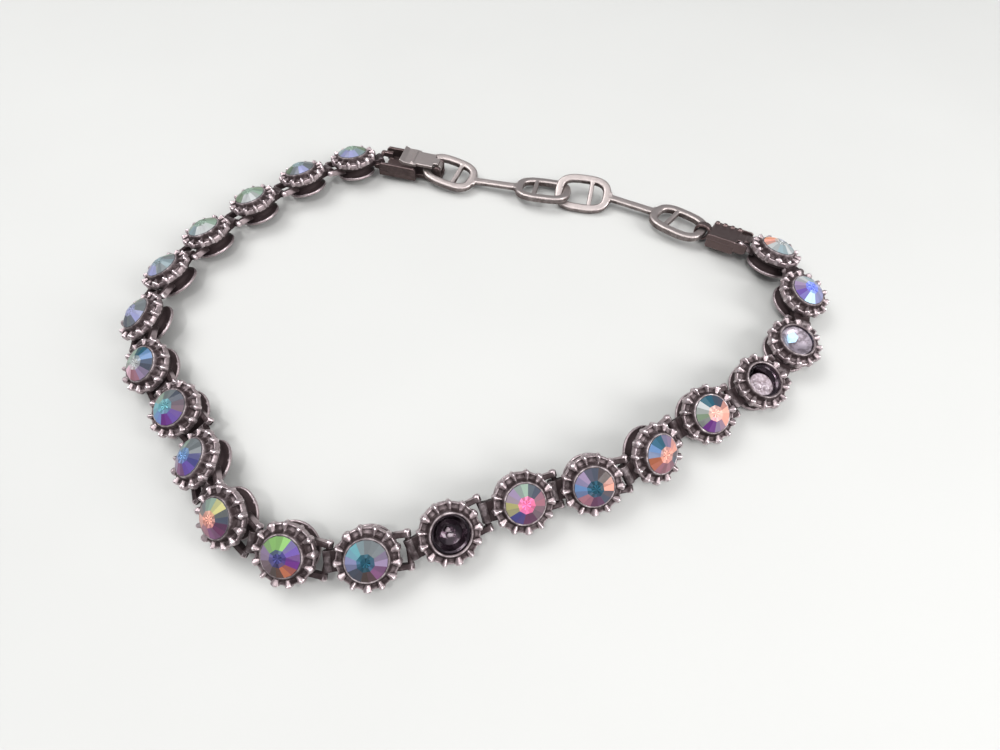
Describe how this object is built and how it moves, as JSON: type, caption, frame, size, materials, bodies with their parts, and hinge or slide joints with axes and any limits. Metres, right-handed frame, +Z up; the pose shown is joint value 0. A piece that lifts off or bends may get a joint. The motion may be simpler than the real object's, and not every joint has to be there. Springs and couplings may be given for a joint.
{
  "type": "rhinestone line bracelet",
  "caption": "Flexible line bracelet of hinged round toothed settings with cut stones, some lost, closed by a fold-over clasp and two flat extender links.",
  "frame": {"origin": "middle of the bracelet's outline on the surface that it lies on", "axes": "+X along the loop's longer way, from the clasp's side to the far bend, +Y across the loop towards the clasp, +Z up"},
  "size_m": [0.086, 0.0646, 0.0061],
  "materials": {
    "antique_metal": "worn antiqued silver plate",
    "dark_metal": "dark tarnished silver plate",
    "crystal": "clear cut glass with a rainbow coating"
  },
  "bodies": {
    "bracelet": {"setting_01": "antique_metal", "setting_02": "antique_metal", "setting_03": "antique_metal", "setting_04": "antique_metal", "setting_05": "antique_metal", "setting_06": "antique_metal", "setting_07": "antique_metal", "setting_08": "antique_metal", "setting_09": "antique_metal", "setting_10": "antique_metal", "setting_11": "antique_metal", "setting_12": "antique_metal", "setting_13": "antique_metal", "setting_14": "antique_metal", "setting_15": "antique_metal", "setting_16": "antique_metal", "setting_17": "antique_metal", "setting_18": "antique_metal", "setting_19": "antique_metal", "setting_20": "antique_metal", "setting_21": "antique_metal", "stone_01": "crystal", "stone_02": "crystal", "stone_03": "crystal", "stone_04": "crystal", "stone_05": "crystal", "stone_06": "crystal", "stone_07": "crystal", "stone_08": "crystal", "stone_09": "crystal", "stone_10": "crystal", "stone_11": "crystal", "stone_12": "crystal", "stone_14": "crystal", "stone_15": "crystal", "stone_16": "crystal", "stone_17": "crystal", "stone_20": "crystal", "stone_21": "crystal", "clasp_base": "dark_metal", "extender_link_1": "antique_metal", "extender_link_2": "antique_metal", "end_loop": "dark_metal"},
    "lever": {"clasp_lever": "antique_metal"}
  },
  "joints": [
    {"name": "clasp_lever_hinge", "type": "hinge", "parent": "bracelet", "child": "lever", "pos_m": [-0.0058, 0.02804, 0.00204], "axis": [0.2197, 0.9731, -0.0696], "range_deg": [0, 100]}
  ]
}
